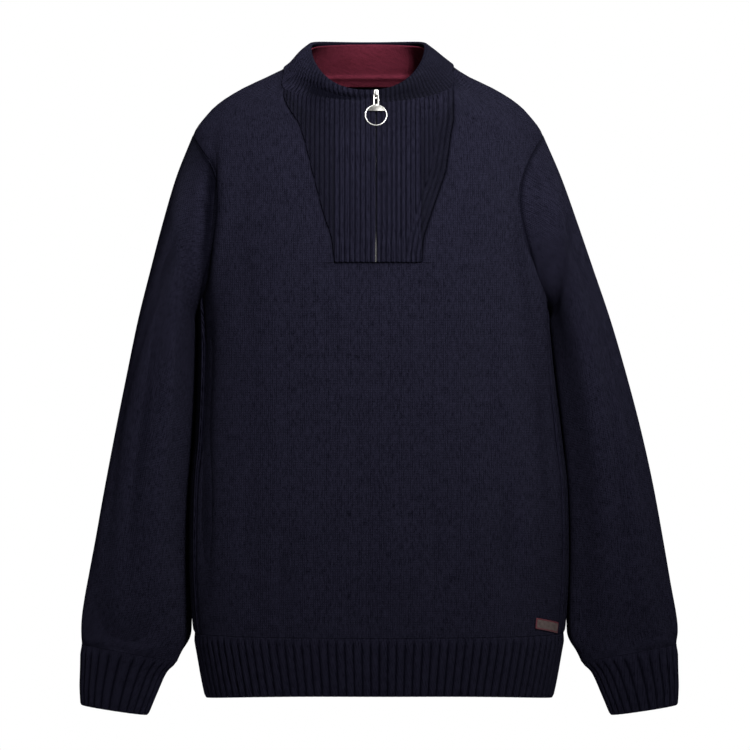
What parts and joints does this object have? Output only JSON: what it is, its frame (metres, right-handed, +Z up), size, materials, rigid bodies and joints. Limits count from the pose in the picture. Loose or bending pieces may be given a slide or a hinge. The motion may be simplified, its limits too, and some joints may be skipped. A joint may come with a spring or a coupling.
{
  "type": "quarter zip sweater",
  "caption": "Knitted quarter zip sweater, filled out as worn, with a ribbed stand collar and insert, cuffs, hem and side panels, and a ring zip pull.",
  "frame": {"origin": "midway between the two shoulder neck points, at mid depth, where the wearer's shoulders hold the garment", "axes": "+X towards the right of the picture, +Y from front to back, +Z up"},
  "size_m": [0.6638, 0.2441, 0.7517],
  "materials": {
    "knit_navy": "fine plain wool knit, matt, softly napped",
    "rib_navy": "ribbed wool knit, matt",
    "knit_burgundy": "fine wool knit, matt",
    "tape": "woven zip tape",
    "metal": "polished nickel plate, lightly worn",
    "leather": "dark brown leather, debossed border"
  },
  "bodies": {
    "garment": {"front_panel": "knit_navy", "back_panel": "knit_navy", "side_panel_left": "rib_navy", "side_panel_right": "rib_navy", "hem_rib_front": "rib_navy", "hem_rib_back": "rib_navy", "sleeve_left": "knit_navy", "sleeve_right": "knit_navy", "cuff_left": "rib_navy", "cuff_right": "rib_navy", "collar": "rib_navy", "collar_lining": "knit_burgundy", "zip_tape_left": "tape", "zip_tape_right": "tape", "zip_chain": "metal", "zip_slider": "metal", "label": "leather"},
    "pull": {"zip_pull": "metal"}
  },
  "joints": [
    {"name": "pull_swing", "type": "hinge", "parent": "garment", "child": "pull", "pos_m": [0, -0.09157, -0.01375], "axis": [-1, 0, 0], "range_deg": [0, 150]}
  ]
}
